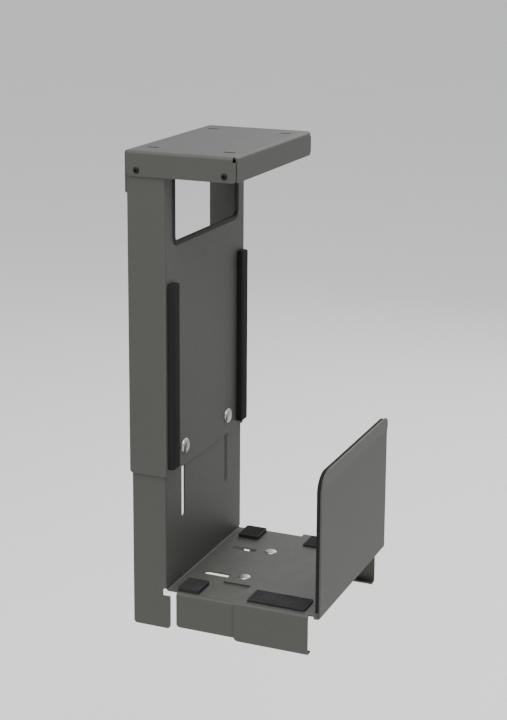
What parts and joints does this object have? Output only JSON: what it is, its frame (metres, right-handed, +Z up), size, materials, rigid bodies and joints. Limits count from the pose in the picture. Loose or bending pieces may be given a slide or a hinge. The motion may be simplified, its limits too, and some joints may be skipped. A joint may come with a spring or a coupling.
{
  "type": "under-desk computer holder",
  "caption": "Folded sheet-metal holder that hangs a desktop computer under a desk, with a height slide, a width slide, star-knob clamps and foam pads.",
  "frame": {"origin": "centre of the desk bracket's top face, which bears on the desk's underside", "axes": "+X towards the side plate, +Y to the back of the desk, +Z up; the front faces -Y"},
  "size_m": [0.2339, 0.226, 0.542],
  "materials": {
    "graphite_coat": "fine textured graphite powder coat",
    "black_foam": "closed-cell foam sheet",
    "black_rubber": "moulded rubber",
    "black_screw": "black oxide",
    "zinc_steel": "zinc plated",
    "black_plastic": "glass-filled nylon",
    "brass": "turned"
  },
  "bodies": {
    "frame": {"desk_bracket": "graphite_coat", "hanging_frame": "graphite_coat", "window_trim": "black_rubber", "front_frame_pad": "black_foam", "rear_frame_pad": "black_foam", "bracket_screws": "black_screw", "bracket_nuts": "zinc_steel", "height_bolts": "zinc_steel", "height_washers": "zinc_steel"},
    "carrier": {"sliding_carrier": "graphite_coat", "carrier_pads": "black_rubber"},
    "side": {"side_bracket": "graphite_coat", "side_pad": "black_foam", "side_bracket_pads": "black_rubber", "width_studs": "zinc_steel", "width_washers": "zinc_steel"},
    "front_height_clamp": {"front_height_knob": "black_plastic", "front_height_insert": "brass"},
    "rear_height_clamp": {"rear_height_knob": "black_plastic", "rear_height_insert": "brass"},
    "front_width_clamp": {"front_width_knob": "black_plastic", "front_width_insert": "brass"},
    "rear_width_clamp": {"rear_width_knob": "black_plastic", "rear_width_insert": "brass"}
  },
  "joints": [
    {"name": "height_slide", "type": "slide", "parent": "frame", "child": "carrier", "axis": [0, 0, 1], "range_m": [-0.12, 0.08]},
    {"name": "width_slide", "type": "slide", "parent": "carrier", "child": "side", "axis": [1, 0, 0], "range_m": [-0.045, 0.04]},
    {"name": "front_height_knob_turn", "type": "hinge", "parent": "frame", "child": "front_height_clamp", "pos_m": [-0.024, -0.06, -0.34], "axis": [-1, 0, 0], "range_deg": [0, 720]},
    {"name": "rear_height_knob_turn", "type": "hinge", "parent": "frame", "child": "rear_height_clamp", "pos_m": [-0.024, 0.06, -0.34], "axis": [-1, 0, 0], "range_deg": [0, 720]},
    {"name": "front_width_knob_turn", "type": "hinge", "parent": "side", "child": "front_width_clamp", "pos_m": [0.0475, -0.04, -0.5014], "axis": [0, 0, -1], "range_deg": [0, 720]},
    {"name": "rear_width_knob_turn", "type": "hinge", "parent": "side", "child": "rear_width_clamp", "pos_m": [0.0475, 0.04, -0.5014], "axis": [0, 0, -1], "range_deg": [0, 720]}
  ]
}
